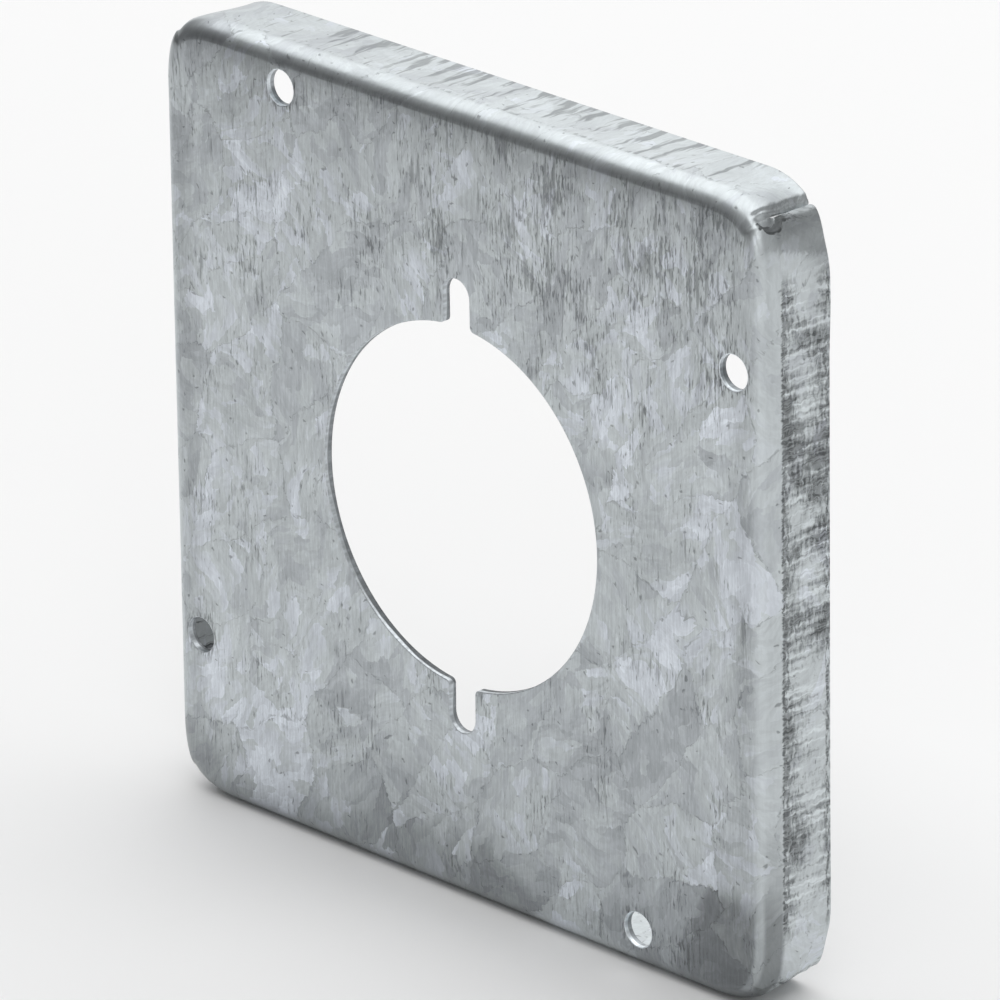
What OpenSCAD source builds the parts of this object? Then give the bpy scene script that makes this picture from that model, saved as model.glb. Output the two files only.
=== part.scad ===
// Raised square cover for an electrical box, pressed from one piece of galvanised sheet steel.
// It stands as it does on a wall: +Z is up, -Y faces the room and +X is to the right.
// The origin is the centre of the screw circle and of the opening, on the plane of the front face.
// The modules draw the cover lying flat, with the face up at height 0 and the walls below it.

/* [Sheet] */
// Thickness of the sheet, with its zinc coating
sheet_t = 1.3; // [0.9:0.05:1.9]

/* [Pan] */
// Width and height over the walls
side = 119.06; // [105:0.01:140]
// Depth from the front face to the back rim
raise = 12.7; // [8:0.1:30]
// Outside radius of the bend between the face and the walls
bend_r = 3.2; // [2.2:0.1:4.5]
// Outside radius of the four corners, seen from the front
corner_r = 11.1; // [8:0.1:16]

/* [Corner seams] */
// Width of the slit where two walls meet at a corner
seam_gap = 0.3; // [0.2:0.05:0.8]
// Depth below the front face at which each slit begins, in the bend
seam_start = 1.6; // [1:0.1:4]
// How far the tips of the walls are cut back beside the slit, at the back rim
tip_cut = 0.6; // [0.2:0.1:1.5]
// Thickness left at the inside edge of the slanted ends of the upper and lower walls
bevel_land = 0.2; // [0.1:0.05:0.6]

/* [Receptacle opening] */
// Diameter of the round opening
opening_d = 53.98; // [40:0.01:60]
// Width of the two screw slots that run out of the opening
slot_w = 5.1; // [4.2:0.1:7]
// Distance between the centres of the slots' round ends
slot_pitch = 63.3; // [62:0.1:80]
// Radius on the corners where a slot meets the opening
slot_corner_r = 0.8; // [0.3:0.1:1.5]

/* [Cover screws] */
// Diameter of the four screw holes
screw_d = 5.2; // [3.5:0.1:5.4]
// Distance from the outside of a wall to the centre of the hole beside it
screw_inset = 5.95; // [5.95:0.05:9]
// Distance of each hole from the centre line of the cover
screw_offset = 34.5; // [20:0.1:40]

/* [Hidden] */
$fn = 96;
// How far each cut runs past the surface that it opens
past = 1;
// Distance from the centre of the cover to the centre of each corner's radius
corner_at = side / 2 - corner_r;
opening_r = opening_d / 2;
slot_half = slot_w / 2;
// Centre of the small radius between a slot and the opening, touching both
blend_x = slot_half + slot_corner_r;
blend_y = sqrt(pow(opening_r + slot_corner_r, 2) - pow(blend_x, 2));

// Section across the edge of the pan: the face, the bend and the wall.
// x runs outwards from the centre of a corner's radius, and y is the height.
module edge_section() {
    translate([0, -sheet_t])
        square([corner_r - bend_r, sheet_t]);
    translate([corner_r - bend_r, -bend_r])
        intersection() {
            square(bend_r);
            difference() {
                circle(bend_r);
                circle(bend_r - sheet_t);
            }
        }
    translate([corner_r - sheet_t, -raise])
        square([sheet_t, raise - bend_r]);
}

// The pressed sheet before it is pierced: a flat middle, four straight edges and four drawn corners
module formed_pan() {
    translate([-corner_at, -corner_at, -sheet_t])
        cube([2 * corner_at, 2 * corner_at, sheet_t]);
    for (turn = [0 : 90 : 270])
        rotate(turn) {
            translate([corner_at, 0, 0])
                rotate([90, 0, 0])
                    linear_extrude(2 * corner_at, center = true)
                        edge_section();
            translate([corner_at, corner_at, 0])
                rotate_extrude(angle = 90)
                    edge_section();
        }
}

// Cut that rounds the corner where one side of a slot meets the opening
module slot_blend() {
    reach = opening_r / (opening_r + slot_corner_r);
    difference() {
        polygon([
            [0, blend_y],
            [blend_x, blend_y],
            [blend_x * reach, blend_y * reach],
            [0, 0]
        ]);
        translate([blend_x, blend_y])
            circle(slot_corner_r);
    }
}

// Outline of the round opening with its two slots and their rounded corners
module opening_outline() {
    circle(opening_r);
    for (up = [0, 1], left = [0, 1])
        mirror([0, up])
            mirror([left, 0])
                slot_blend();
    translate([-slot_half, -slot_pitch / 2])
        square([slot_w, slot_pitch]);
    for (end = [-1, 1])
        translate([0, end * slot_pitch / 2])
            circle(slot_half);
}

module receptacle_opening() {
    translate([0, 0, -sheet_t - past])
        linear_extrude(sheet_t + 2 * past)
            opening_outline();
}

// Four holes set like a pinwheel, each beside a wall and to one side of its middle
module screw_holes() {
    for (turn = [0 : 90 : 270])
        rotate(turn)
            translate([-screw_offset, side / 2 - screw_inset, -sheet_t - past])
                cylinder(h = sheet_t + 2 * past, d = screw_d);
}

// Outline of a slit with its round root and the cut-back wall tips, seen from outside the corner
module slit_outline() {
    half = seam_gap / 2;
    mouth = half + tip_cut + past;
    translate([-half, -raise - past])
        square([seam_gap, raise + past - seam_start]);
    translate([0, -seam_start])
        circle(half);
    polygon([
        [-mouth, -raise - past],
        [mouth, -raise - past],
        [half, -raise + tip_cut],
        [-half, -raise + tip_cut]
    ]);
}

// Seam of the upper right corner: the slit, and the slanted end of the upper wall beside it
module corner_seam() {
    inner = (corner_r - sheet_t + bevel_land) * sin(45);
    clear = 2 * sheet_t;
    translate([corner_at, corner_at, 0]) {
        rotate(45)
            translate([corner_r - bend_r, 0, 0])
                rotate([90, 0, 90])
                    linear_extrude(bend_r + past)
                        slit_outline();
        translate([0, 0, -raise - past])
            linear_extrude(raise + past - seam_start)
                polygon([[inner, inner], [inner + clear, inner + clear], [inner, inner + clear]]);
    }
}

module raised_cover() {
    color([0.72, 0.74, 0.75])
        rotate([90, 0, 0])
            difference() {
                formed_pan();
                receptacle_opening();
                screw_holes();
                for (left = [0, 1], low = [0, 1])
                    mirror([left, 0, 0])
                        mirror([0, low, 0])
                            corner_seam();
            }
}

raised_cover();
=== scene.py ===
import math

import bpy
import numpy as np
from mathutils import Matrix, Vector
from mathutils.geometry import delaunay_2d_cdt


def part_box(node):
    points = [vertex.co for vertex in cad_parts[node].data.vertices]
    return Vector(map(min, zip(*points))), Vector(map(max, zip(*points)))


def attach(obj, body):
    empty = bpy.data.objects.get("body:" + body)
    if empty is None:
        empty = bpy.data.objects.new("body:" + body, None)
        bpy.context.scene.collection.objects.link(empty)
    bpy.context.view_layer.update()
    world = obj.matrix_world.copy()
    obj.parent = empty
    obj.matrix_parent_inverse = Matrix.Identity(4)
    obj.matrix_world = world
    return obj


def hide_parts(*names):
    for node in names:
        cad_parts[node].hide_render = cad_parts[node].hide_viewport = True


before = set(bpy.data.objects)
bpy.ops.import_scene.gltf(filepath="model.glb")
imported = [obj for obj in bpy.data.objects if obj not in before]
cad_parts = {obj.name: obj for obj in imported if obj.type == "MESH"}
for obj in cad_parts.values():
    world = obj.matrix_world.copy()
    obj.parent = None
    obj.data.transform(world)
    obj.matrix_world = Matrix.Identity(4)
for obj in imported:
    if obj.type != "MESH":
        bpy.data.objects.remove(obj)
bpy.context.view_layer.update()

# The blank and the way it is pressed
# The cover is one square of 1.3 mm galvanised steel. A press pierces it flat, then a die turns its four
# edges back through a round bend. Every point below is first a point of the flat blank, in metres.

MM = 0.001
sheet_low, sheet_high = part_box("raised_cover")
SIDE = sheet_high.x - sheet_low.x
DEPTH = sheet_high.y - sheet_low.y
FRONT = sheet_low.y
SHEET = 1.3 * MM
BEND = 3.2 * MM
CORNER = 11.1 * MM
CORE = SIDE / 2 - CORNER
FLAT = CORNER - BEND
BEND_RUN = BEND * math.pi / 2
RIM_AT = FLAT + BEND_RUN + DEPTH - BEND
FACE_REACH = FLAT + 0.4 * MM
CROWN_WIDTH = 14 * MM
CROWN_END = 0.7 * BEND_RUN
CROWN_DROP = 0.16 * MM
CORNER_PUSH = 0.85 * MM
PUSH_DOWN = 0.9 * (DEPTH - BEND)
DISH = 0.22 * MM
DISH_FROM = 27 * MM
DISH_WIDTH = 20 * MM


def ease(value):
    """0 below 0 and 1 above 1, with the curve 3v^2 - 2v^3 between them."""
    v = np.clip(value, 0, 1)
    return v * v * (3 - 2 * v)


def rounded(value):
    """A quarter circle from 0 at 0, where it stands upright, to 1 at 1, where it is level."""
    v = 1 - np.clip(value, 0, 1)
    return np.sqrt(1 - v * v)


def press(blank, below):
    """Pressed position of points of the flat blank, each at a depth below the outside surface.

    A point's reach is its distance from the core square that lies inside the four corner radii. Up to
    FLAT the reach is kept. From there it turns about an arc of radius BEND, then it runs straight back
    as depth. The heading from the core square gives the direction, so the same rule makes the straight
    walls and the rounded corners. The face falls away by CROWN_DROP on an eased slope to the bend, and
    by DISH to the edge of the opening, where the punch has drawn it in. At the face the corners stand
    out by CORNER_PUSH sin(2a)^2 more, for heading a, and at the rim by 0."""
    core = np.clip(blank, -CORE, CORE)
    away = blank - core
    reach = np.linalg.norm(away, axis=-1)
    heading = away / np.maximum(reach, 1e-9)[..., None]
    turn = np.clip((reach - FLAT) / BEND, 0, math.pi / 2)
    out = np.minimum(reach, FLAT) + (BEND - below) * np.sin(turn)
    down = np.maximum(reach - FLAT - BEND_RUN, 0)
    deep = BEND - (BEND - below) * np.cos(turn) + down
    signed = np.where(reach > 0, reach, np.abs(blank).max(axis=-1) - CORE) - FLAT
    fall = ease((signed + CROWN_WIDTH) / (CROWN_WIDTH + CROWN_END))
    deep += CROWN_DROP * fall * (1 - down / (DEPTH - BEND))
    deep += DISH * ease(1 - (np.linalg.norm(blank, axis=-1) - DISH_FROM) / DISH_WIDTH)
    squared = CORNER_PUSH * 4 * (heading[..., 0] * heading[..., 1]) ** 2 * ease(reach / FLAT)
    squared *= 1 - ease(down / PUSH_DOWN)
    across = core + heading * out[..., None] + np.sign(heading) * squared[..., None] / math.sqrt(2)
    return np.stack([across[..., 0], FRONT + deep, across[..., 1]], axis=-1)


def turned(points, quarters):
    """Points turned about the centre by a number of quarter turns, clockwise seen from the front."""
    x, z = points[..., 0], points[..., 1]
    turns = [(x, z), (z, -x), (-x, -z), (-z, x)]
    return np.stack(turns[quarters], axis=-1)


class Skin:
    """Gathers the patches of a closed mesh, with each point's place on the blank and its wear."""

    def __init__(self):
        self.points = []
        self.blanks = []
        self.wear = []
        self.faces = []
        self.cuts = []
        self.count = 0

    def add(self, points, blank, faces, wear=0.0, cut=0):
        """Points with their places on the blank, and the faces between them, marked 1 where sheared."""
        self.points.append(points.reshape(-1, 3))
        self.blanks.append(blank.reshape(-1, 2))
        self.wear.append(np.broadcast_to(wear, points.shape).reshape(-1, 3))
        self.faces.append(faces + self.count)
        self.cuts.append(np.full(len(faces), cut))
        self.count += len(self.points[-1])

    def add_grid(self, points, blank, wear=0.0, cut=0, flip=False, closed=False):
        """A grid of rows and columns as two triangles a cell, wound the other way if flip."""
        rows, columns = points.shape[:2]
        index = np.arange(rows * columns).reshape(rows, columns)
        if closed:
            index = np.concatenate([index, index[:, :1]], axis=1)
        a, b, c, d = index[:-1, :-1], index[:-1, 1:], index[1:, 1:], index[1:, :-1]
        halves = [np.stack([a, b, c], axis=-1), np.stack([a, c, d], axis=-1)]
        faces = np.concatenate([half.reshape(-1, 3) for half in halves])
        self.add(points, blank, faces[:, ::-1] if flip else faces, wear, cut)


skin = Skin()

# The inside is marked as another part of the blank, this far away
INSIDE = np.array([0.31, 0.17])

# The sheared edges
# Every edge is cut by the press. The punch rolls the metal over where it enters, on the outside, and
# leaves it nearly square where it breaks out. Each pair is a depth below the outside surface, and how far
# the metal stands back from the full cut at that depth.

ROLL = 0.13 * MM
BURR = 0.04 * MM
CUT_EDGE = [
    (0.0, ROLL),
    (0.12 * ROLL, 0.52 * ROLL),
    (0.42 * ROLL, 0.16 * ROLL),
    (ROLL, 0.0),
    (0.4 * SHEET, 0.0),
    (0.7 * SHEET, 0.0),
    (SHEET - BURR, 0.0),
    (SHEET - 0.3 * BURR, 0.3 * BURR),
    (SHEET, BURR),
]

# The four walls and their seams
# Each wall runs from the bend to the rim and from seam to seam. At a seam the drawn corner is slit down to
# the bend. The die has beaten the ends of the upper and lower walls to a slope that faces sideways, has
# pushed up the side walls next to them, and has closed the root of each slit with a smooth lump.

WALL_HALF = CORE + CORNER * math.pi / 4
SLIT = FLAT + BEND_RUN + 1.0 * MM
SLIT_STEP = 0.2 * MM
SLIT_OPENS = 0.9 * MM
GAP_AT_SLIT = 0.15 * MM
GAP_AT_RIM = 0.05 * MM
GAP_CLOSES = 1.3
SEAM_PULL = 5 * MM
SEAM_BESIDE = 2.6 * MM
SEAM_FINE = 2.4 * MM
RIM_BESIDE = 1.3 * MM
RIM_FINE = np.array([0.95, 0.7, 0.5, 0.32, 0.16, 0.0]) * MM
LEAST_ROW = 0.07 * MM
TIPS = (0.35 * MM, 0.5 * MM)
CREASE = FLAT + 0.5 * BEND_RUN
CREASE_RAMP = 1.5 * MM
SINK = 0.7 * MM
BEATEN = (0.14, 1.0, 0.3, 0.5)
SLOPE = 1.85 * MM
SLOPE_ROUND = 0.12
SLOPE_WAVE = 0.05
SLOPE_WAVES = (0.75 * MM, 0.4 * MM)
RIDGE_HIGH = 0.045 * MM
RIDGE_TURNS = 12
RIDGE_WANDER = 1.2
RIDGE_WAVE = 0.9 * MM
PILLOW_HIGH = 0.22 * MM
PILLOW_AT = 1.5 * MM
PILLOW_RAMP = 0.4 * BEND_RUN
BOW_DEEP = 0.48 * MM
BOW_AT = 5.5 * MM
BOW_WIDE = 5 * MM
BULGE_HIGH = 0.22 * MM
BULGE_AT = 14 * MM
BULGE_WIDE = 9 * MM
STEP = 0.8 * MM
STEP_FADES = 0.85
STEP_FADES_BY = 1.6
CRACK_AT = 0.7
CRACK_WIDE = 0.8
LUMP_AT = FLAT + BEND_RUN + 0.1 * MM
LUMP_REACH = 1.7 * MM
LUMP_BELOW = 1.35 * MM
LUMP_LAND = 0.1 * MM
LUMP_HIGH = 0.1 * MM
MARKED_FROM = 6 * MM
MARKED_RAMP = 7 * MM
UNMARKED_TO = 2.2 * MM
UNMARKED_RAMP = 1 * MM


def wall_columns():
    """Places along a wall: even where it is straight, closer in the corner, and finest by the seam."""
    straight = np.linspace(0, CORE, 34)
    bent = np.linspace(CORE, WALL_HALF - SEAM_BESIDE, 8)
    fine = WALL_HALF - np.linspace(SEAM_FINE, 0, 17)
    half = np.concatenate([straight, bent[1:], fine])
    return np.concatenate([-half[:0:-1], half])


def wall_rows():
    """Reaches down a wall from the bend to the rim, finest where the slit starts and at the rim."""
    bend = FLAT + BEND_RUN * np.linspace(0, 1, 19)
    fine = SLIT + np.arange(-14, 9) * SLIT_STEP
    wall = np.linspace(FLAT + BEND_RUN, RIM_AT - RIM_BESIDE, 20)
    outer = np.concatenate([bend, wall, RIM_AT - RIM_FINE])
    outer = outer[(outer < fine[0] - LEAST_ROW) | (outer > fine[-1] + LEAST_ROW)]
    rows = np.sort(np.concatenate([outer, fine]))
    return np.concatenate([[FACE_REACH], rows[rows > FACE_REACH + LEAST_ROW]])


COLUMNS = wall_columns()
ROWS = wall_rows()
SLIT_ROW = int(np.argmin(np.abs(ROWS - SLIT)))


def round_tip(from_seam, from_rim, radius):
    """Rounds the wall's corner between the seam and the rim.

    The square beside the corner goes to a quarter disc by x' = x sqrt(1 - y^2 / 2), and y likewise."""
    x = np.clip(1 - from_seam / radius, 0, 1)
    y = np.clip(1 - from_rim / radius, 0, 1)
    seam = np.where(x > 0, radius * (1 - x * np.sqrt(1 - y * y / 2)), from_seam)
    rim = np.where(y > 0, radius * (1 - y * np.sqrt(1 - x * x / 2)), from_rim)
    return seam, rim


def beaten_slope(k, from_seam, reach, sinks):
    """How far upper or lower wall k stands out beside a seam, which is less than 0 on its slope.

    It sinks by sinks times SINK, and starts softly, as s^2 / (s + SLOPE_ROUND) for a share s of the
    slope's width. The width waves by SLOPE_WAVE, and ridges of RIDGE_HIGH run down the slope."""
    waves = np.sin(reach / SLOPE_WAVES[0] + k) + 0.6 * np.sin(reach / SLOPE_WAVES[1])
    share = np.clip(1 - from_seam / (SLOPE * (1 + SLOPE_WAVE * waves)), 0, 1)
    sunk = SINK * sinks * share ** 2 * (1 + SLOPE_ROUND) / (share + SLOPE_ROUND)
    ridges = np.sin(RIDGE_TURNS * share + RIDGE_WANDER * np.sin(reach / RIDGE_WAVE + k))
    return RIDGE_HIGH * ridges * sinks * 4 * share * (1 - share) - sunk


def side_swell(from_seam, reach, past, beaten, sinks):
    """How far a side wall stands out beside a seam, and from 0 to 1 how deep in its crack it lies.

    It swells by s e^(1 - s), for s the distance from the seam over PILLOW_AT. At the rim it bows in by
    BOW_DEEP next, and then out by a share of BULGE_HIGH. Next to the seam it stays sunk to the lump's
    lower edge, which is half an ellipse about the slit's root, and steps up there, less and less
    towards the rim."""
    swell = from_seam / PILLOW_AT * np.exp(1 - from_seam / PILLOW_AT)
    lift = PILLOW_HIGH * swell * ease((reach - FACE_REACH) / PILLOW_RAMP)
    lift -= BOW_DEEP * ease(past) * ease(1 - np.abs(from_seam - BOW_AT) / BOW_WIDE)
    lift += BULGE_HIGH * beaten * ease(past) * ease(1 - np.abs(from_seam - BULGE_AT) / BULGE_WIDE)
    lump_edge = LUMP_BELOW * np.sqrt(np.clip(1 - ((reach - LUMP_AT) / LUMP_REACH) ** 2, 0, 1))
    past_edge = (from_seam - lump_edge - LUMP_LAND) / STEP
    fading = 1 - STEP_FADES * ease(STEP_FADES_BY * past)
    lift -= (SINK * sinks + lift) * (1 - ease(past_edge)) * fading
    # How deep in the crack a point lies, which the coat paints as shadow
    crack = ease(1.7 - np.abs(past_edge - CRACK_AT) / CRACK_WIDE) * ease(2 * sinks) * fading
    return lift, crack


def wall_patch(k, below, inset):
    """Blank points, pressed points and wear of wall k, at a depth below the outside surface.

    Columns near a seam are pulled back by half its gap and by the inset of the cut edge. BEATEN gives
    how far the die has beaten each corner, clockwise from the upper left, and the walls stand out or
    sink by it beside the seam, with half a dome of LUMP_HIGH over the slit's root.

    Wear holds how far an upper or lower wall is marked, the same for a side wall, both going from 1
    in the middle to -1 at the seams and -2 in the crack below the lump, and how many millimetres the
    point is past the start of the bend. The inside of a side wall has -4 instead."""
    run, reach = np.meshgrid(COLUMNS, ROWS)
    past = (reach - ROWS[SLIT_ROW]) / (RIM_AT - ROWS[SLIT_ROW])
    opened = rounded(past * (RIM_AT - ROWS[SLIT_ROW]) / SLIT_OPENS) * (past > 0)
    back = (GAP_AT_SLIT + (GAP_AT_RIM - GAP_AT_SLIT) * ease(past * GAP_CLOSES) + inset) * opened
    from_seam, from_rim = WALL_HALF - np.abs(run), RIM_AT - reach
    from_seam, from_rim = round_tip(from_seam, from_rim, TIPS[k % 2])
    from_rim = from_rim * (RIM_AT - inset - FACE_REACH) / (RIM_AT - FACE_REACH)
    from_seam = from_seam + back * np.clip(1 - from_seam / SEAM_PULL, 0, 1)
    run, reach = np.sign(run) * (WALL_HALF - from_seam), RIM_AT - inset - from_rim
    beaten = np.array(BEATEN)[(k + (run > 0)) % 4]
    sinks = beaten * ease((reach - CREASE) / CREASE_RAMP)
    if k % 2 == 0:
        lift, crack = beaten_slope(k, from_seam, reach, sinks), 0.0
    else:
        lift, crack = side_swell(from_seam, reach, past, beaten, sinks)
    dome = ease(1 - np.hypot(from_seam / LUMP_BELOW, (reach - LUMP_AT) / LUMP_REACH))
    lift = lift + LUMP_HIGH * dome * beaten
    along = np.clip(run, -CORE, CORE)
    swing = (run - along) / CORNER
    blank = np.stack([along + reach * np.sin(swing), CORE + reach * np.cos(swing)], axis=-1)
    blank = turned(blank, k)
    points = press(blank, below - lift * (1 - below / SHEET))
    worn = ease((from_seam - MARKED_FROM) / MARKED_RAMP) - ease((UNMARKED_TO - from_seam) / UNMARKED_RAMP)
    # In the crack the wear goes to -2, which the coat paints as shadow
    worn = worn * (1 - crack) - 2 * crack
    wear = np.stack([worn * (k % 2 == 0), worn * (k % 2 == 1), (reach - FLAT) / MM], axis=-1)
    return blank, points, wear


def wall_edge(grid):
    """The free edge of a wall's grid: down one seam, along the rim and back up the other seam."""
    return np.concatenate([grid[SLIT_ROW:, 0], grid[-1, 1:-1], grid[SLIT_ROW:, -1][::-1]])


for k in range(4):
    blank, points, wear = wall_patch(k, 0.0, ROLL)
    skin.add_grid(points, blank, wear)
    blank, points, wear = wall_patch(k, SHEET, BURR)
    # The inside of a side wall gets -4, which the coat paints as shade
    skin.add_grid(points, blank + INSIDE, wear * [0, 0, 1] - [0, 4 * (k % 2), 0], flip=True)
    layers = [wall_patch(k, below, inset) for below, inset in CUT_EDGE]
    edge_blank = np.stack([wall_edge(blank) for blank, points, wear in layers])
    edge_points = np.stack([wall_edge(points) for blank, points, wear in layers])
    edge_wear = np.stack([wall_edge(wear) for blank, points, wear in layers])
    skin.add_grid(edge_points, edge_blank, edge_wear)

# The face and its holes
# The face is pierced before the edges are turned: a round opening for the receptacle with a slot for each
# of its screws, and four holes near the corners for the screws that hold the cover to its box.

OPENING = 26.99 * MM
SLOT_HALF = 2.55 * MM
SLOT_END = 31.5 * MM
SLOT_BLEND = 0.8 * MM
SCREW_HOLE = 2.6 * MM
SCREW_INSET = 5.95 * MM
SCREW_OFFSET = 34.5 * MM
SCREW_STEPS = 48
OPENING_RING = 0.3 * MM
SCREW_RING = 0.15 * MM
FACE_STEP = 1.5 * MM
FACE_MARGIN = 0.6 * MM
RING_MARGIN = 0.65 * FACE_STEP
LEAST_AREA = 0.0001 * MM * MM
CHUNKS = 40


def opening_outline(grow):
    """The receptacle opening, with its two slots, grown into the sheet by grow.

    One quarter is four arcs and lines: the circle, the small blend with a slot, the slot's side and its
    round end. Growing adds to the circle and the slot and takes from the blend. The others mirror it."""
    blend_x = SLOT_HALF + SLOT_BLEND
    blend_z = math.sqrt((OPENING + SLOT_BLEND) ** 2 - blend_x ** 2)
    meet = math.atan2(blend_z, blend_x)
    circle = np.linspace(0, meet, 54)
    blend = np.linspace(meet + math.pi, math.pi, 7)[1:]
    side = np.linspace(blend_z, SLOT_END, 7)[1:]
    end = np.linspace(0, math.pi / 2, 10)[1:]
    half_slot = SLOT_HALF + grow
    x = [(OPENING + grow) * np.cos(circle), blend_x + (SLOT_BLEND - grow) * np.cos(blend)]
    x += [np.full(side.shape, half_slot), half_slot * np.cos(end)]
    z = [(OPENING + grow) * np.sin(circle), blend_z + (SLOT_BLEND - grow) * np.sin(blend)]
    z += [side, SLOT_END + half_slot * np.sin(end)]
    quarter = np.stack([np.concatenate(x), np.concatenate(z)], axis=-1)
    half = np.concatenate([quarter, (quarter * [-1, 1])[-2::-1]])
    return np.concatenate([half, (half * [1, -1])[-2:0:-1]])


def screw_outline(k, grow):
    """Screw hole k, grown into the sheet by grow. A quarter turn takes each hole to the next."""
    angle = np.linspace(0, 2 * math.pi, SCREW_STEPS, endpoint=False)
    centre = np.array([-SCREW_OFFSET, SIDE / 2 - SCREW_INSET])
    return turned(centre + (SCREW_HOLE + grow) * np.stack([np.cos(angle), np.sin(angle)], axis=-1), k)


def inside(points, loop):
    """Whether points lie inside a closed loop, which a line from there to the right crosses an odd
    number of times."""
    x, z = points[:, :1], points[:, 1:]
    start, end = loop, np.roll(loop, -1, axis=0)
    crosses = (start[:, 1] > z) != (end[:, 1] > z)
    rise = end[:, 1] - start[:, 1]
    at = start[:, 0] + (z - start[:, 1]) * (end[:, 0] - start[:, 0]) / np.where(rise == 0, 1, rise)
    return (crosses & (x < at)).sum(axis=1) % 2 == 1


def clear_of(points, rim, gap):
    """The points that lie at least gap from every point of rim, worked out in chunks to save memory."""
    chunks = np.array_split(points, CHUNKS)
    near = [np.linalg.norm(rim - chunk[:, None], axis=-1).min(axis=1) for chunk in chunks]
    return points[np.concatenate(near) > gap]


def in_holes(points, loops):
    """Whether points lie inside any loop but the first, which is the outer one."""
    return np.any([inside(points, loop) for loop in loops[1:]], axis=0)


def reach_of(points):
    """The distance of blank points from the core square."""
    return np.linalg.norm(points - np.clip(points, -CORE, CORE), axis=-1)


def loop_edges(loops):
    """The edges that close each loop, as pairs of places in the list of all their points."""
    ends = np.cumsum([0] + [len(loop) for loop in loops])
    places = [np.arange(first, last) for first, last in zip(ends, ends[1:])]
    return np.concatenate([np.stack([place, np.roll(place, -1)], axis=-1) for place in places])


def face_triangles(outer, inset):
    """The face between its outer loop and the holes' loops, as blank points and triangles.

    A ring follows each hole a little way out, a grid fills the rest, and Delaunay triangles join the
    points with no edge crossing a loop. Those that fall inside a hole are dropped."""
    loops = [outer, opening_outline(inset)] + [screw_outline(k, inset) for k in range(4)]
    rings = [opening_outline(inset + OPENING_RING)]
    rings += [screw_outline(k, inset + SCREW_RING) for k in range(4)]
    line = np.arange(-SIDE / 2, SIDE / 2, FACE_STEP)
    grid = np.stack(np.meshgrid(line, line), axis=-1).reshape(-1, 2)
    grid = grid[(reach_of(grid) < FACE_REACH - FACE_MARGIN) & ~in_holes(grid, loops)]
    grid = clear_of(grid, np.concatenate(loops + rings), RING_MARGIN)
    points = np.concatenate(loops + rings + [grid])
    spots = [Vector(point) for point in points / MM]
    _, _, triangles, sources, _, _ = delaunay_2d_cdt(spots, loop_edges(loops).tolist(), [], 0, 1e-7)
    joined = points[[source[0] for source in sources]]
    triangles = np.array(triangles)
    a, b, c = (joined[triangles[:, i]] for i in range(3))
    wide = np.abs(np.cross(b - a, c - a)) > LEAST_AREA
    return joined, triangles[wide & ~in_holes((a + b + c) / 3, loops)]


outer = np.concatenate([wall_patch(k, 0.0, ROLL)[0][0, :-1] for k in range(4)])
blank, triangles = face_triangles(outer, ROLL)
skin.add(press(blank, 0.0), blank, triangles)
blank, triangles = face_triangles(outer, BURR)
skin.add(press(blank, SHEET), blank + INSIDE, triangles[:, ::-1])

# On the holes' edges the wear is the depth, as a share of the sheet
depths = np.array([below for below, inset in CUT_EDGE])[:, None]
for grown in [opening_outline] + [lambda grow, k=k: screw_outline(k, grow) for k in range(4)]:
    blank = np.stack([grown(inset) for below, inset in CUT_EDGE])
    share = np.broadcast_to(depths / SHEET, blank.shape[:2])
    skin.add_grid(press(blank, depths), blank, np.stack([share] * 3, axis=-1), cut=1, closed=True)

WELD = 0.002 * MM
WELD_SHIFT = 0.31


def build_sheet(skin):
    """One closed mesh from the patches, whose shared edges are joined by their rounded positions.

    WELD_SHIFT keeps points on the planes of symmetry away from where the rounding turns."""
    points = np.concatenate(skin.points)
    faces = np.concatenate(skin.faces)
    cuts = np.concatenate(skin.cuts)
    keys = np.round(points / WELD + WELD_SHIFT).astype(np.int64)
    _, first, place = np.unique(keys, axis=0, return_index=True, return_inverse=True)
    welded = place.reshape(-1)[faces]
    whole = (welded != np.roll(welded, 1, axis=1)).all(axis=1)
    faces, welded, cuts = faces[whole], welded[whole], cuts[whole]
    mesh = bpy.data.meshes.new("cover_sheet")
    mesh.from_pydata(points[first].tolist(), [], welded.tolist())
    mesh.polygons.foreach_set("use_smooth", np.ones(len(welded), bool))
    mesh.polygons.foreach_set("material_index", cuts.astype(np.int32))
    layer = mesh.uv_layers.new(name="blank")
    corners = np.concatenate(skin.blanks)[faces.reshape(-1)]
    layer.data.foreach_set("uv", corners.astype(np.float32).ravel())
    wear = mesh.attributes.new("wear", "FLOAT_VECTOR", "POINT")
    wear.data.foreach_set("vector", np.concatenate(skin.wear)[first].astype(np.float32).ravel())
    mesh.update()
    piece = bpy.data.objects.new("cover_sheet", mesh)
    bpy.context.scene.collection.objects.link(piece)
    return piece


sheet = build_sheet(skin)

# The zinc coat
# Hot-dip zinc froze on the steel in flat crystals, each with its own tone and slope. Rolls then left a
# fine upright grain with dark dashes, and the die scored the walls from the bend to the rim. Light and
# shade are painted into the colour as well: painted shade at the foot and top of the face, by the side
# bends, at the right wall's top, inside the side walls and in the cracks, and painted light over the
# upper face and along the side bends.


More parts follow.
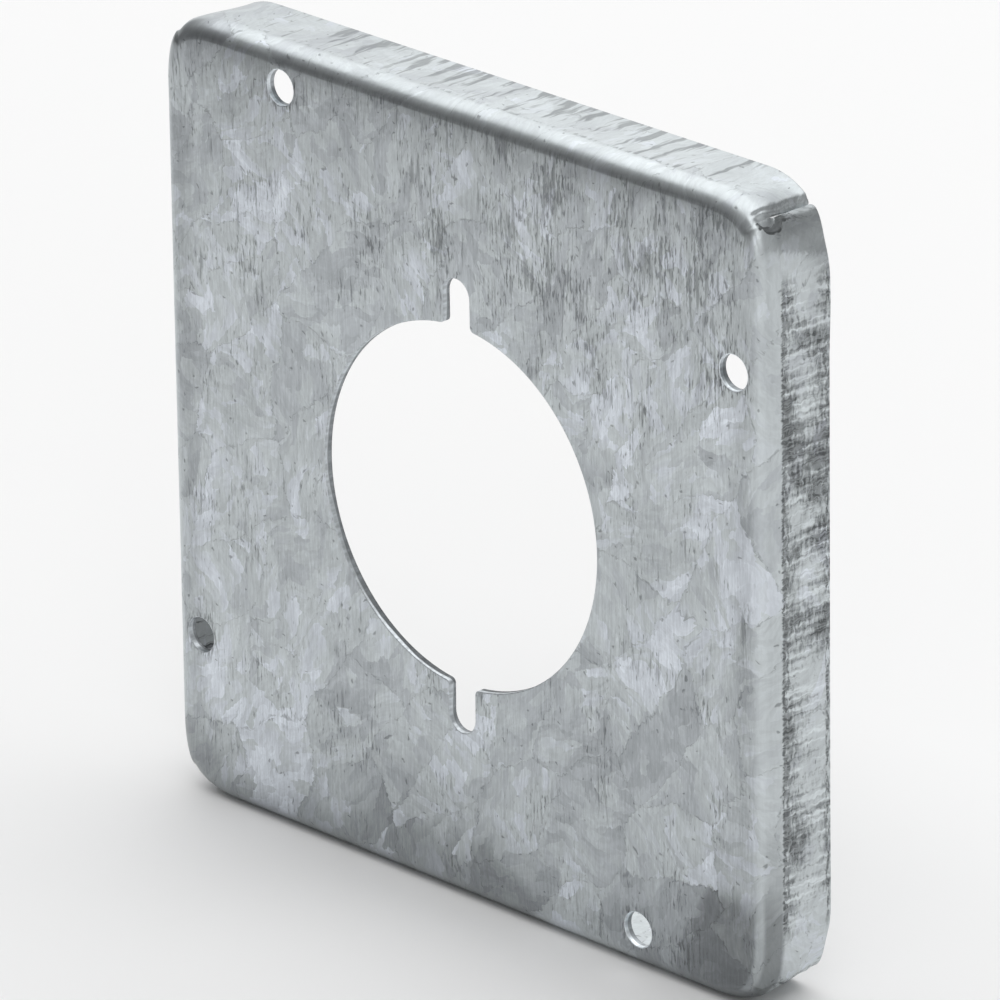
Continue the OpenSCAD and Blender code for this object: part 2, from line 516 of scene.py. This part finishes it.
class Coat:
    """A metal's material, with short ways to add nodes to its tree."""

    def __init__(self, name):
        self.material = bpy.data.materials.new(name)
        self.material.use_nodes = True
        self.tree = self.material.node_tree
        self.shader = self.tree.nodes["Principled BSDF"]
        self.shader.inputs["Metallic"].default_value = 0.95

    def link(self, name, value):
        """Links a value to the shader's input of that name."""
        self.tree.links.new(value, self.shader.inputs[name])

    def add(self, kind, inputs=None, **settings):
        """A shader node with its properties set and its inputs linked or set."""
        made = self.tree.nodes.new("ShaderNode" + kind)
        for name, value in settings.items():
            setattr(made, name, value)
        for name, value in (inputs or {}).items():
            if isinstance(value, bpy.types.NodeSocket):
                self.tree.links.new(value, made.inputs[name])
            else:
                made.inputs[name].default_value = value
        return made

    def math(self, operation, *values):
        return self.add("Math", dict(enumerate(values)), operation=operation).outputs[0]

    def fold(self, operation, first, *others):
        """One value made from several by the same operation, in their order."""
        for other in others:
            first = self.math(operation, first, other)
        return first

    def times(self, *values):
        return self.fold("MULTIPLY", *values)

    def most(self, *values):
        return self.fold("MAXIMUM", *values)

    def rest(self, value):
        """What is left of 1."""
        return self.math("SUBTRACT", 1.0, value)

    def off(self, value, centre):
        """How far a value is from a centre."""
        return self.math("ABSOLUTE", self.math("SUBTRACT", value, centre))

    def mix(self, *pairs):
        """The sum of values, each times its weight."""
        total = 0.0
        for value, weight in pairs:
            total = self.math("MULTIPLY_ADD", value, weight, total)
        return total

    def vector(self, operation, *values, output="Vector", **named):
        inputs = dict(enumerate(values)) | named
        return self.add("VectorMath", inputs, operation=operation).outputs[output]

    def parts(self, vector):
        return self.add("SeparateXYZ", {"Vector": vector}).outputs

    def remap(self, value, low, high, to_low=0.0, to_high=1.0):
        """A value's eased way from low to high, as a number from to_low to to_high."""
        inputs = {"Value": value, "From Min": low, "From Max": high}
        inputs |= {"To Min": to_low, "To Max": to_high}
        return self.add("MapRange", inputs, interpolation_type="SMOOTHSTEP").outputs["Result"]

    def noise(self, place, across, upright, detail=1.0, start=0.0, output="Fac"):
        """Noise from 0 to 1 with so many features a millimetre across and upright."""
        spot = self.vector("MULTIPLY_ADD", place, (across, upright, 0), (start, 0.7 * start, 0))
        inputs = {"Vector": spot, "Scale": 1.0, "Detail": detail, "Roughness": 0.55}
        return self.add("TexNoise", inputs, noise_dimensions="2D").outputs[output]

    def jitter(self, place, scale, reach, start=0.0):
        """A place pushed about by up to reach, in waves of the given scale."""
        wave = self.noise(place, scale, scale, 1.0, start, "Color")
        push = self.vector("SUBTRACT", wave, (0.5, 0.5, 0.5))
        return self.vector("ADD", place, self.vector("SCALE", push, Scale=2 * reach))

    def crystals(self, place, size, slope, start, metric="EUCLIDEAN"):
        """Crystals of a size in millimetres, twice as long along a slope.

        Returns their random vector, their tone, which slants across each, and the scaled place."""
        turn = self.add("Mapping", {"Vector": place, "Rotation": (0, 0, slope)}).outputs[0]
        spot = self.vector("MULTIPLY_ADD", turn, (1.3 / size, 0.65 / size, 0), (start, start, 0))
        inputs = {"Vector": spot, "Scale": 1.0}
        cell = self.add("TexVoronoi", inputs, voronoi_dimensions="2D", distance=metric).outputs
        heading = self.vector("SUBTRACT", cell["Color"], (0.5, 0.5, 0.5))
        offset = self.vector("SUBTRACT", spot, cell["Position"])
        slant = self.vector("DOT_PRODUCT", offset, heading, output="Value")
        return heading, self.mix((self.parts(cell["Color"])["Z"], 1.0), (slant, 0.9)), spot

    def colour_steps(self, value, steps):
        """A colour ramp through steps of a place, a grey level and its tint."""
        ramp = self.add("ValToRGB", {"Fac": value})
        while len(ramp.color_ramp.elements) < len(steps):
            ramp.color_ramp.elements.new(0.5)
        for element, (at, level, tint) in zip(ramp.color_ramp.elements, steps):
            element.position = at
            element.color = (level * tint[0], level * tint[1], level * tint[2], 1)
        return ramp.outputs["Color"]


NEUTRAL = (0.94, 1.0, 1.045)
GREENISH = (0.935, 1.0, 1.025)
BLUISH = (0.943, 1.0, 1.07)
CRYSTAL_STEPS = [
    (0.10, 0.445, NEUTRAL),
    (0.30, 0.52, NEUTRAL),
    (0.45, 0.568, GREENISH),
    (0.58, 0.605, GREENISH),
    (0.72, 0.66, BLUISH),
    (0.90, 0.77, BLUISH),
]
GRAIN_DEPTH = 0.006 * MM
GRAIN_SLANT = 0.06
CRYSTAL = 13.0
CRYSTAL_TURN = 0.68
SHARD = 6.0
SHARD_TURN = 0.45
FACET = 2.3
FACE_END = 0.2
BEND_END = 1.6
SCORED_FROM = 5.2
SCORED_ALL = 5.6
RIM_FROM = 13.3
RIM_TO = 14.3


class ZincCoat(Coat):
    """The coat's places and the patterns that its marks share, all in millimetres.

    place lies on the flat blank and seat on the pressed cover. down is the way past the start of the
    bend, so face is 1 on the face and wall is 1 where the die has rubbed the walls. on_level is the
    wear of the upper and lower walls, and on_side that of the side walls."""

    def __init__(self):
        super().__init__("galvanised_steel")
        blank = self.add("UVMap", uv_map="blank").outputs["UV"]
        self.place = self.vector("SCALE", blank, Scale=1 / MM)
        self.seat = self.vector("SCALE", self.add("TexCoord").outputs["Object"], Scale=1 / MM)
        seat = self.parts(self.seat)
        self.seat_x, self.seat_z = seat["X"], seat["Z"]
        wear = self.parts(self.add("Attribute", attribute_name="wear").outputs["Vector"])
        self.on_level, self.on_side, self.down = wear["X"], wear["Y"], wear["Z"]
        self.face = self.remap(self.down, BEND_END, FACE_END)

        bent = self.jitter(self.place, 0.1, 2.6)
        self.ragged = self.jitter(bent, 1.1, 0.45, 7.0)
        self.heading, self.tone, self.spot = self.crystals(self.ragged, CRYSTAL, CRYSTAL_TURN, 3.0)
        shards = self.crystals(self.ragged, SHARD, SHARD_TURN, 11.0, "MANHATTAN")
        self.shard_heading, self.shard_tone, _ = shards
        self.cloud = self.noise(self.place, 0.04, 0.035, 1.0, 5.0)
        inputs = {"Vector": self.ragged, "Angle": self.times(self.parts(self.heading)["X"], 7.0)}
        self.leaning = self.add("VectorRotate", inputs, rotation_type="Z_AXIS").outputs[0]
        self.feather = self.noise(self.leaning, 1.7, 0.4, 3.0)

        self.rubbed = self.jitter(self.place, 0.9, 0.14, 3.0)
        self.grain = self.noise(self.rubbed, 2.8, 0.24, 3.0, 2.0)
        self.rolled = self.mix((self.face, 0.7), (1.0, 0.3))
        self.dashes = self.noise(self.rubbed, 2.7, 0.5, 3.0, 13.0)

        scored = self.jitter(self.place, 0.8, 0.45, 37.0)
        self.scores = self.noise(scored, 0.08, 1.1, 3.0, 4.0)
        self.fine_scores = self.noise(scored, 0.3, 2.8, 2.0, 33.0)
        self.hatch = self.noise(scored, 1.9, 0.5, 3.0, 8.0)
        begun = self.mix((self.down, 1.0), (self.fine_scores, 0.8))
        self.wall = self.remap(begun, SCORED_FROM, SCORED_ALL)

    def crystal_colour(self):
        """The crystals' tones, with shards and facets in each, calmer on the walls than on the face."""
        _, facet_tone, _ = self.crystals(self.leaning, FACET, 0.0, 17.0, "MANHATTAN")
        patch = self.mix((self.tone, 0.34), (self.shard_tone, 0.3), (facet_tone, 0.34))
        patch = self.mix((patch, 1.0), (self.cloud, 0.5), (1.0, -0.24))
        calm = self.mix((self.face, 0.45), (1.0, 0.55))
        patch = self.mix((self.math("SUBTRACT", patch, 0.5), calm), (1.0, 0.5))
        return self.colour_steps(patch, CRYSTAL_STEPS)

    def grain_light(self):
        """The fine upright grain of the rolls, and the crystals' feathers across it."""
        grain = self.remap(self.grain, 0.25, 0.75, -0.085, 0.085)
        light = self.mix((grain, self.rolled), (1.0, 1.0))
        return self.times(light, self.remap(self.feather, 0.25, 0.75, 0.95, 1.05))

    def pale(self):
        """Painted light that rises over the face's upper half, and flecks between the dashes."""
        # Painted light: the upper half of the face is made lighter
        rise = self.remap(self.seat_z, 0, 30, 0.0, 0.07)
        fleck = self.remap(self.dashes, 0.38, 0.28, 0.0, 0.12)
        return self.times(self.math("ADD", rise, fleck), self.face)

    def rolled_dark(self):
        """Short dashes and long lines that the rolls left, most crowded at the upper right."""
        upper = self.times(self.remap(self.seat_z, 14, 40), self.remap(self.seat_x, -30, 20))
        crowd = self.noise(self.place, 0.13, 0.08, 2.0, 51.0)
        crowd = self.mix((crowd, 0.5), (upper, 0.07), (self.remap(self.seat_z, 10, 50), 0.05))
        dash = self.remap(self.mix((self.dashes, 1.0), (crowd, 1.0)), 0.9, 1.08, 0.0, 0.5)
        lines = self.noise(self.rubbed, 1.5, 0.12, 4.0, 27.0)
        line = self.remap(self.mix((lines, 1.0), (crowd, 1.0)), 0.89, 1.07, 0.0, 0.34)
        return self.times(self.most(dash, line), self.face)

    def pit_dark(self):
        """A dark pit in some of the cells of a net about 3 mm wide."""
        inputs = {"Vector": self.ragged, "Scale": 0.36}
        pits = self.add("TexVoronoi", inputs, voronoi_dimensions="2D").outputs
        some = self.remap(self.parts(pits["Color"])["X"], 0.7, 0.72)
        return self.times(self.remap(pits["Distance"], 0.1, 0.04, 0.0, 0.4), some)

    def outline_dark(self):
        """A thin broken line where two crystals meet."""
        inputs = {"Vector": self.spot, "Scale": 1.0}
        settings = {"voronoi_dimensions": "2D", "feature": "DISTANCE_TO_EDGE"}
        edge = self.add("TexVoronoi", inputs, **settings).outputs["Distance"]
        return self.times(self.remap(edge, 0.022, 0.004, 0.0, 0.3), self.remap(self.feather, 0.5, 0.6))

    def painted_bend_shade_and_grime(self):
        """Painted shade on the face by the side bends and at the top, and grime round the screw holes."""
        beside = self.off(self.math("ABSOLUTE", self.seat_x), 55.0)
        beside = self.times(self.remap(beside, 3.4, 0.0, 0.0, 0.16), self.remap(self.seat_z, 52, 40))
        high = self.remap(self.mix((self.seat_z, 1.0), (self.cloud, 8.0)), 54, 60, 0.0, 0.16)
        flat = self.vector("MULTIPLY", self.seat, (1, 0, 1))
        holes = [(screw_outline(k, 0).mean(axis=0) / MM).tolist() for k in range(4)]
        gaps = [self.vector("DISTANCE", flat, (x, 0, z), output="Value") for x, z in holes]
        near_hole = self.remap(self.fold("MINIMUM", *gaps), 4.4, 2.8, 0.0, 0.5)
        grime = self.times(near_hole, self.remap(self.dashes, 0.44, 0.6))
        return self.times(self.most(beside, high, grime), self.face)

    def painted_low_shade(self):
        """Painted shade in a band along the foot of the face, which follows the edges of crystals.

        It is lower past the middle, highest in the right corner, and fades on the bend's line there."""
        low = self.mix((self.seat_z, 1.0), (self.tone, 5.0), (self.shard_tone, 5.0), (self.cloud, 14.0))
        right, corner = self.remap(self.seat_x, -2, 22), self.remap(self.seat_x, 40, 52)
        low = self.mix((low, 1.0), (right, 12.0), (corner, -21.0), (1.0, -0.5))
        low = self.most(self.remap(low, -35, -42, 0.0, 0.39), self.remap(low, -26, -36, 0.0, 0.12))
        low = self.times(low, self.remap(self.seat_x, 42, 53, 1.0, 1.35))
        low = self.times(low, self.remap(self.down, 5.5, 4.5))
        elsewhere = self.remap(self.seat_x, 56, 51, 0.0, 2.0)
        from_line = self.math("ADD", self.off(self.down, 1.4), elsewhere)
        return self.times(low, self.remap(from_line, 1.1, 0.3, 1.0, 0.4))

    def side_dark(self):
        """The die's dark scores on the side walls, with a frayed start, and a dark lip at the rim.

        They end above the wall's foot, and a bright tongue parts them near its top."""
        spread = self.noise(self.place, 0.14, 0.09, 1.0, 15.0)
        spread = self.mix((spread, 0.7), (self.remap(self.seat_z, -41, -51), 0.24))
        tongue = self.remap(self.off(self.down, 9.5), 3.4, 0.5)
        tongue = self.times(tongue, self.remap(self.seat_z, 41, 45))
        deep = self.mix((self.scores, 0.6), (self.fine_scores, 0.3), (self.hatch, 0.55), (spread, 1.0))
        deep = self.mix((deep, 1.0), (tongue, 0.35), (self.remap(self.seat_z, 0, 35), -0.05))
        frayed = self.mix((self.down, 1.0), (self.scores, 3.0), (self.fine_scores, 3.0))
        frayed = self.mix((frayed, 1.0), (self.hatch, 5.0), (spread, 2.0))
        heel = self.remap(frayed, 13.4, 11.6, 0.0, 0.6)
        lip = self.times(self.remap(self.down, RIM_FROM, 13.7), self.remap(self.down, RIM_TO, 14.1))
        lip = self.times(lip, self.remap(self.hatch, 0.6, 0.45, 0.0, 0.6))
        dark = self.most(self.remap(deep, 1.2, 0.84, 0.0, 0.67), heel, lip)
        dark = self.times(dark, self.remap(self.fine_scores, 0.36, 0.6, 0.72, 1.18))
        return self.times(dark, self.wall, self.remap(self.on_side, 0.0, 0.8))

    def scores_and_painted_ridge(self):
        """Bright scores between the dark ones, and a painted highlight along the side bends."""
        bright = self.times(self.remap(self.scores, 0.54, 0.68, 0.0, 0.2), self.wall)
        # Painted highlight in a line along the side bends
        painted_ridge = self.remap(self.off(self.down, 1.9), 1.3, 0.2, 0.0, 0.08)
        return self.times(self.math("ADD", bright, painted_ridge), self.on_side)

    def level_dark(self):
        """Streaks on the upper and lower walls, short ones by the bend, and a soft shade at the left."""
        streaks = self.noise(self.jitter(self.place, 0.35, 0.5, 31.0), 0.7, 0.09, 2.0, 19.0)
        dark = self.remap(self.mix((streaks, 1.0), (self.down, -0.012)), 0.36, 0.23, 0.0, 0.42)
        heel = self.remap(self.mix((self.down, 1.0), (self.hatch, 2.0)), 6.6, 6.1, 0.0, 0.34)
        heel = self.times(heel, self.remap(streaks, 0.5, 0.6))
        dark = self.times(self.most(dark, heel), self.wall, self.remap(self.on_level, 0.0, 0.8))
        left = self.times(self.remap(self.seat_x, 10, -50, 0.0, 0.09), self.remap(self.down, 3.5, 5.0))
        return self.most(dark, left)

    def seam_dark(self):
        """Rough spots on what the die has beaten by the seams, and painted shadow in their cracks."""
        outside = self.times(self.on_side, self.remap(self.on_side, -3.2, -2.6))
        rough_spots = self.noise(self.ragged, 1.1, 1.1, 2.0, 23.0)
        slope = self.remap(self.on_level, -0.1, -0.6, 0.0, 0.5)
        beaten = self.most(self.remap(outside, -0.1, -0.6), slope)
        beaten = self.times(beaten, self.remap(rough_spots, 0.44, 0.62, 0.0, 0.42), self.wall)
        # Painted shadow in the crack below the lump
        crack = self.remap(self.mix((outside, 1.0), (rough_spots, 1.2)), -0.6, -1.25, 0.0, 0.8)
        return self.most(beaten, crack)

    def painted_corner_shade(self):
        """Painted shade on the top of the right wall, above the first scores."""
        corner_shade = self.mix((self.seat_z, 1.0), (self.down, 0.28), (self.hatch, 2.0))
        corner_shade = self.times(self.remap(corner_shade, 54.3, 55.2, 0.0, 0.26), self.remap(self.down, 2.5, 4.5))
        sideways = self.math("SUBTRACT", self.seat_x, self.seat_z)
        return self.times(corner_shade, self.remap(sideways, -0.1, 0.3))

    def painted_inner_shade(self):
        """Painted shade on the inside of the side walls."""
        inner = self.remap(self.on_side, -2.4, -3.6)
        return self.times(inner, self.remap(self.down, 2.5, 4.5, 0.0, 0.55))


def zinc_coat():
    """Galvanised steel: crystals, rolling grain, pits, the die's wall marks, painted light and shade."""
    coat = ZincCoat()
    # dark holds real marks, and painted shade at the right wall's top, inside the side walls and in the
    # cracks
    dark = coat.most(coat.rolled_dark(), coat.pit_dark(), coat.outline_dark(), coat.side_dark())
    dark = coat.most(dark, coat.level_dark(), coat.seam_dark(), coat.painted_corner_shade(), coat.painted_inner_shade())
    # soft is painted shade at the foot and top of the face and by the side bends, with grime round the
    # screw holes
    soft = coat.most(coat.painted_bend_shade_and_grime(), coat.painted_low_shade())
    light = coat.times(coat.grain_light(), coat.rest(dark), coat.rest(soft))
    # added is painted light over the upper face and along the side bends, with bright scores and flecks
    added = coat.math("ADD", coat.scores_and_painted_ridge(), coat.pale())
    light = coat.times(light, coat.math("ADD", 1.0, added))
    coat.link("Base Color", coat.vector("SCALE", coat.crystal_colour(), Scale=light))
    slant = coat.parts(coat.shard_heading)["Y"]
    coat.link("Roughness", coat.mix((slant, 0.08), (dark, 0.25), (1.0, 0.38)))

    normal = coat.add("NewGeometry").outputs["Normal"]
    tilt = coat.vector("ADD", coat.vector("SCALE", coat.heading, Scale=GRAIN_SLANT), normal)
    inputs = {"Height": coat.grain, "Normal": coat.vector("NORMALIZE", tilt)}
    inputs |= {"Distance": GRAIN_DEPTH, "Strength": coat.rolled}
    coat.link("Normal", coat.add("Bump", inputs).outputs["Normal"])
    return coat.material


SHEARED_STEPS = [(0.0, 0.46, NEUTRAL), (0.5, 0.56, NEUTRAL), (1.0, 0.68, NEUTRAL)]
TEAR_DEPTH = 0.01 * MM
TORN_LOW = (-15 * MM, -23 * MM)
TORN_END = (-27.5 * MM, -26.5 * MM)
HOLES_FROM = (36 * MM, 42 * MM)
SHADE_AT_LEFT = (-50 * MM, -45 * MM)


def sheared_steel():
    """A sheared edge: bright where the punch slid along it, then torn and dark towards the back.

    It is torn most in the lower part of the opening. Painted light brightens the screw holes' edges,
    and painted shade dims the one at the far left."""
    coat = Coat("sheared_edge")
    place = coat.add("TexCoord").outputs["Object"]
    depth = coat.parts(coat.add("Attribute", attribute_name="wear").outputs["Vector"])["X"]
    inputs = {"Vector": coat.vector("MULTIPLY", place, (1500, 300, 1500)), "Scale": 1.0, "Detail": 2.0}
    streak = coat.add("TexNoise", inputs).outputs["Fac"]
    inputs = {"Vector": coat.vector("MULTIPLY", place, (90, 0, 90)), "Scale": 1.0, "Detail": 1.0}
    wander = coat.add("TexNoise", inputs).outputs["Fac"]
    height = coat.parts(place)["Z"]
    lowest = coat.times(coat.remap(height, *TORN_LOW), coat.remap(height, *TORN_END))
    tear = coat.mix((depth, 1.0), (streak, 0.25), (wander, 0.9), (lowest, 0.16))
    torn = coat.times(coat.remap(tear, 1.0, 1.15, 0.0, 0.45), coat.mix((lowest, 0.6), (1.0, 1.0)))
    torn = coat.most(torn, coat.remap(depth, 0.9, 0.96, 0.0, 0.75))
    centre = coat.vector("LENGTH", coat.vector("MULTIPLY", place, (1, 0, 1)), output="Value")
    # Painted light brightens the screw holes' edges, and painted shade dims the one at the far left
    painted_light_and_shade = coat.remap(centre, *HOLES_FROM, 1.0, 1.45)
    painted_light_and_shade = coat.times(painted_light_and_shade, coat.remap(coat.parts(place)["X"], *SHADE_AT_LEFT, 0.65, 1.0))
    colour = coat.colour_steps(coat.remap(streak, 0.3, 0.7), SHEARED_STEPS)
    coat.link("Base Color", coat.vector("SCALE", colour, Scale=coat.times(painted_light_and_shade, coat.rest(torn))))
    coat.link("Roughness", coat.mix((torn, 0.3), (1.0, 0.42)))
    bump = coat.add("Bump", {"Height": streak, "Distance": TEAR_DEPTH, "Strength": 1.0})
    coat.link("Normal", bump.outputs["Normal"])
    return coat.material


sheet.data.materials.append(zinc_coat())
sheet.data.materials.append(sheared_steel())

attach(sheet, "root")
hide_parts("raised_cover")

# The stage
# The cover stands on a pale floor under one wide overhead light, with panels behind it and at its right.
# Small lights in front draw the bends, and a dark curved screen, which the camera doesn't see, stands at
# the left of the front so that the bends mirror it.

FLOOR_REACH = 4.0
FLOOR_CORNERS = [(-1, -1), (1, -1), (1, 1), (-1, 1)]
SCREEN_RADIUS = 0.6
SCREEN_HEIGHT = 0.34
SCREEN_PANES = 40

floor_mesh = bpy.data.meshes.new("floor")
corners = [(x * FLOOR_REACH, y * FLOOR_REACH, sheet_low.z) for x, y in FLOOR_CORNERS]
floor_mesh.from_pydata(corners, [], [(0, 1, 2, 3)])
floor = bpy.data.objects.new("floor", floor_mesh)
bpy.context.scene.collection.objects.link(floor)
floor_paint = bpy.data.materials.new("floor_paint")
floor_paint.use_nodes = True
paint = floor_paint.node_tree.nodes["Principled BSDF"]
paint.inputs["Base Color"].default_value = (0.88, 0.88, 0.88, 1)
paint.inputs["Roughness"].default_value = 0.9
paint.inputs["Specular IOR Level"].default_value = 0.1
floor_mesh.materials.append(floor_paint)


def soft_light(name, where, towards, width, height, brightness):
    """A flat soft light that faces a point. Its power is its brightness times pi times its area."""
    lamp = bpy.data.lights.new(name, "AREA")
    lamp.shape = "RECTANGLE"
    lamp.size = width
    lamp.size_y = height
    lamp.energy = brightness * math.pi * width * height
    light = bpy.data.objects.new(name, lamp)
    light.location = where
    light.rotation_euler = (Vector(towards) - Vector(where)).to_track_quat("-Z", "Y").to_euler()
    light.visible_camera = False
    bpy.context.scene.collection.objects.link(light)


turn = np.radians(np.linspace(172, 272, SCREEN_PANES + 1))
foot = SCREEN_RADIUS * np.stack([np.sin(turn), np.cos(turn)], axis=-1)
ring = [[(x, y, sheet_low.z + height) for x, y in foot] for height in (0.0, SCREEN_HEIGHT)]
above = SCREEN_PANES + 1
panes = [(i, i + 1, i + 1 + above, i + above) for i in range(SCREEN_PANES)]
screen_mesh = bpy.data.meshes.new("dark_screen")
screen_mesh.from_pydata(ring[0] + ring[1], [], panes)
screen = bpy.data.objects.new("dark_screen", screen_mesh)
screen.visible_camera = False
bpy.context.scene.collection.objects.link(screen)
screen_paint = bpy.data.materials.new("screen_paint")
screen_paint.use_nodes = True
paint = screen_paint.node_tree.nodes["Principled BSDF"]
paint.inputs["Base Color"].default_value = (0.1, 0.1, 0.1, 1)
paint.inputs["Roughness"].default_value = 0.9
screen_mesh.materials.append(screen_paint)

soft_light("overhead", (-0.4, 0.4, 1.2), (-0.4, 0.4, 0), 2.6, 2.2, 1.5)
soft_light("back_panel", (-1.6, 1.6, 0.55), (0, 0, 0.55), 1.8, 1.2, 0.9)
soft_light("front_right", (0.77, -0.64, 0.7), (0, 0, 0), 0.5, 0.5, 1.2)
soft_light("right_panel", (1.45, 0.4, 0.4), (0, 0, 0.4), 1.6, 0.9, 0.42)
soft_light("front_strip", (0.38, -0.82, 0.1), (0, 0, 0.02), 0.2, 0.3, 2.0)
soft_light("front_low", (0.84, -0.76, 0.34), (0, 0, 0.04), 0.26, 0.34, 2.4)

world = bpy.data.worlds.new("studio")
world.use_nodes = True
world.node_tree.nodes["Background"].inputs["Color"].default_value = (0.25, 0.25, 0.25, 1)
bpy.context.scene.world = world
bpy.context.scene.view_settings.view_transform = "Standard"

# The camera
# It looks at the cover's front from the right and a little above. Its lens is long, so the edges that run
# back stay almost parallel.

CAMERA_AIM = Vector((-1.7, 9.8, -2.1)) * MM
CAMERA_TURN = math.radians(45.717)
CAMERA_DIP = math.radians(21.906)
CAMERA_ROLL = math.radians(-0.808)
CAMERA_DISTANCE = 1511 * MM
CAMERA_LENS = 388.8

looking = Vector((
    -math.sin(CAMERA_TURN) * math.cos(CAMERA_DIP),
    math.cos(CAMERA_TURN) * math.cos(CAMERA_DIP),
    -math.sin(CAMERA_DIP),
))
level_right = Vector((math.cos(CAMERA_TURN), math.sin(CAMERA_TURN), 0))
level_up = level_right.cross(looking)
right = math.cos(CAMERA_ROLL) * level_right + math.sin(CAMERA_ROLL) * level_up
up = right.cross(looking)
camera_data = bpy.data.cameras.new("camera")
camera_data.lens = CAMERA_LENS
camera_data.sensor_width = 36
camera = bpy.data.objects.new("camera", camera_data)
facing = Matrix((right, up, -looking)).transposed().to_4x4()
camera.matrix_world = Matrix.Translation(CAMERA_AIM - CAMERA_DISTANCE * looking) @ facing
bpy.context.scene.collection.objects.link(camera)
bpy.context.scene.camera = camera
